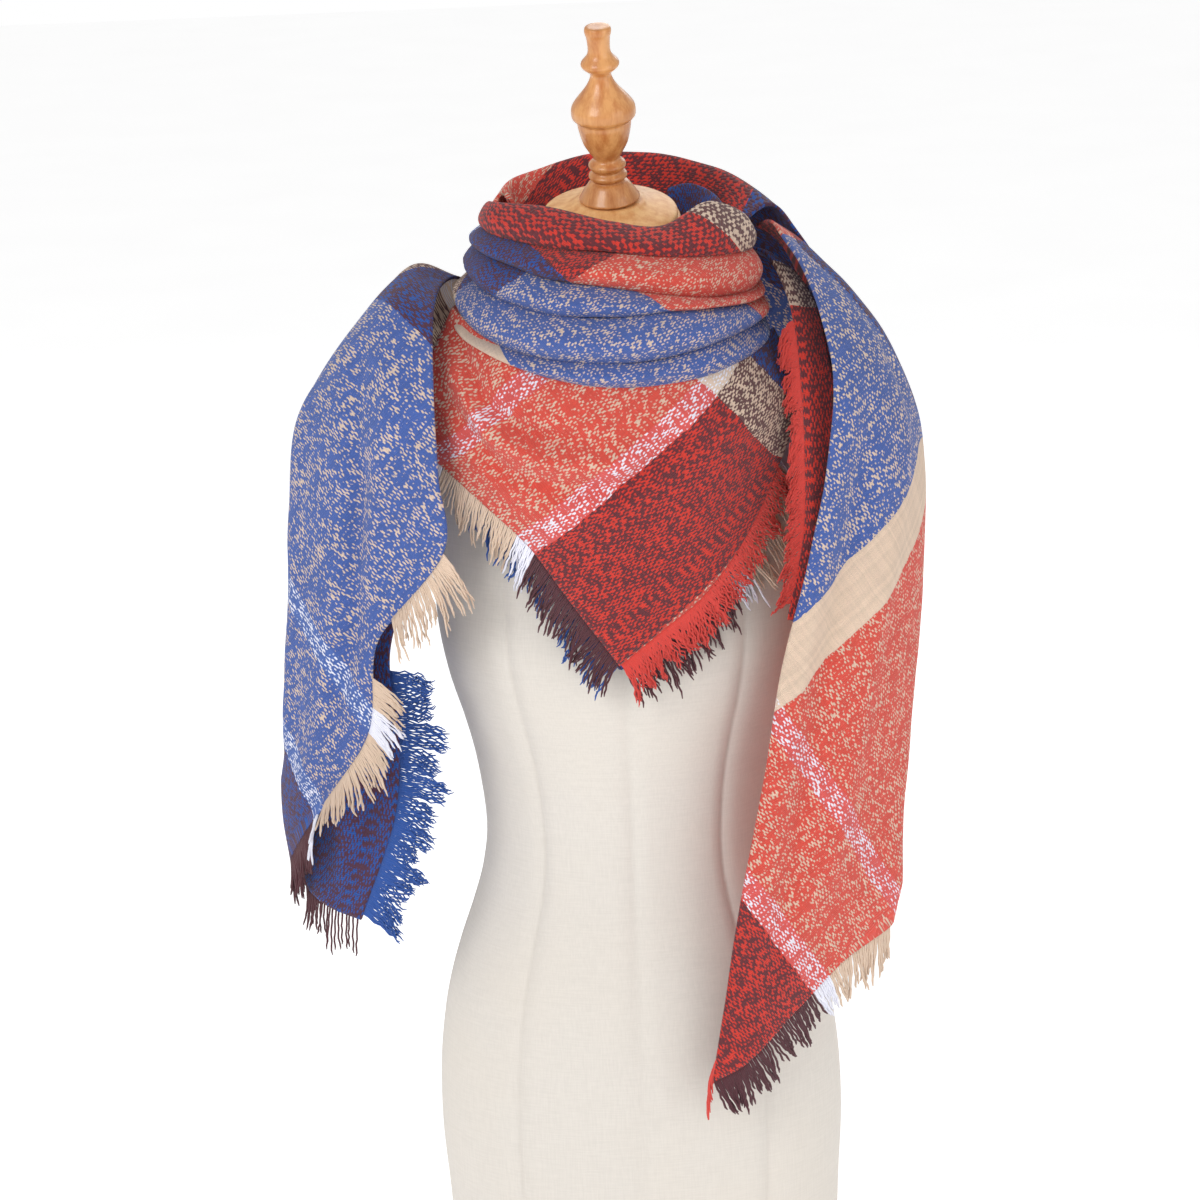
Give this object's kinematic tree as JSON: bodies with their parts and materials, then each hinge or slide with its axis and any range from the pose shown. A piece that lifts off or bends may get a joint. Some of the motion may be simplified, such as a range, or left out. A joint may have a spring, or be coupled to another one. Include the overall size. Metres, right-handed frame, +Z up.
{
  "type": "blanket scarf on a limbless dress form",
  "caption": "Plaid blanket scarf with fringed edges, wound as a bib with hanging ends round the neck of a linen dress form with a turned wooden finial.",
  "frame": {"origin": "centre of the flat underside of the dress form", "axes": "+Z up along the form's height, -Y towards the front of the chest, +X to the right of someone who looks at the front"},
  "size_m": [0.5349, 0.331, 1.0491],
  "materials": {
    "plaid_cloth": "brushed, slubby twill weave in a large plaid",
    "fringe_yarn": "loose spun yarn ends",
    "linen": "plain fine linen weave",
    "wood": "varnished, turned"
  },
  "bodies": {
    "root": {"form_torso": "linen", "neck_cap": "wood", "finial": "wood", "roll_1": "plaid_cloth", "roll_2": "plaid_cloth", "roll_3": "plaid_cloth", "roll_4": "plaid_cloth", "roll_5": "plaid_cloth", "back_collar": "plaid_cloth", "inner_fold": "plaid_cloth", "bib": "plaid_cloth", "bib_under": "plaid_cloth", "tail_left": "plaid_cloth", "tail_left_under": "plaid_cloth", "tail_right": "plaid_cloth", "tail_right_under": "plaid_cloth", "fringe_bib_left": "fringe_yarn", "fringe_bib_right": "fringe_yarn", "fringe_under_left": "fringe_yarn", "fringe_under_right": "fringe_yarn", "fringe_left_upper": "fringe_yarn", "fringe_left_lower": "fringe_yarn", "fringe_left_low_end": "fringe_yarn", "fringe_left_side": "fringe_yarn", "fringe_left_end": "fringe_yarn", "fringe_right_end": "fringe_yarn"}
  },
  "joints": []
}
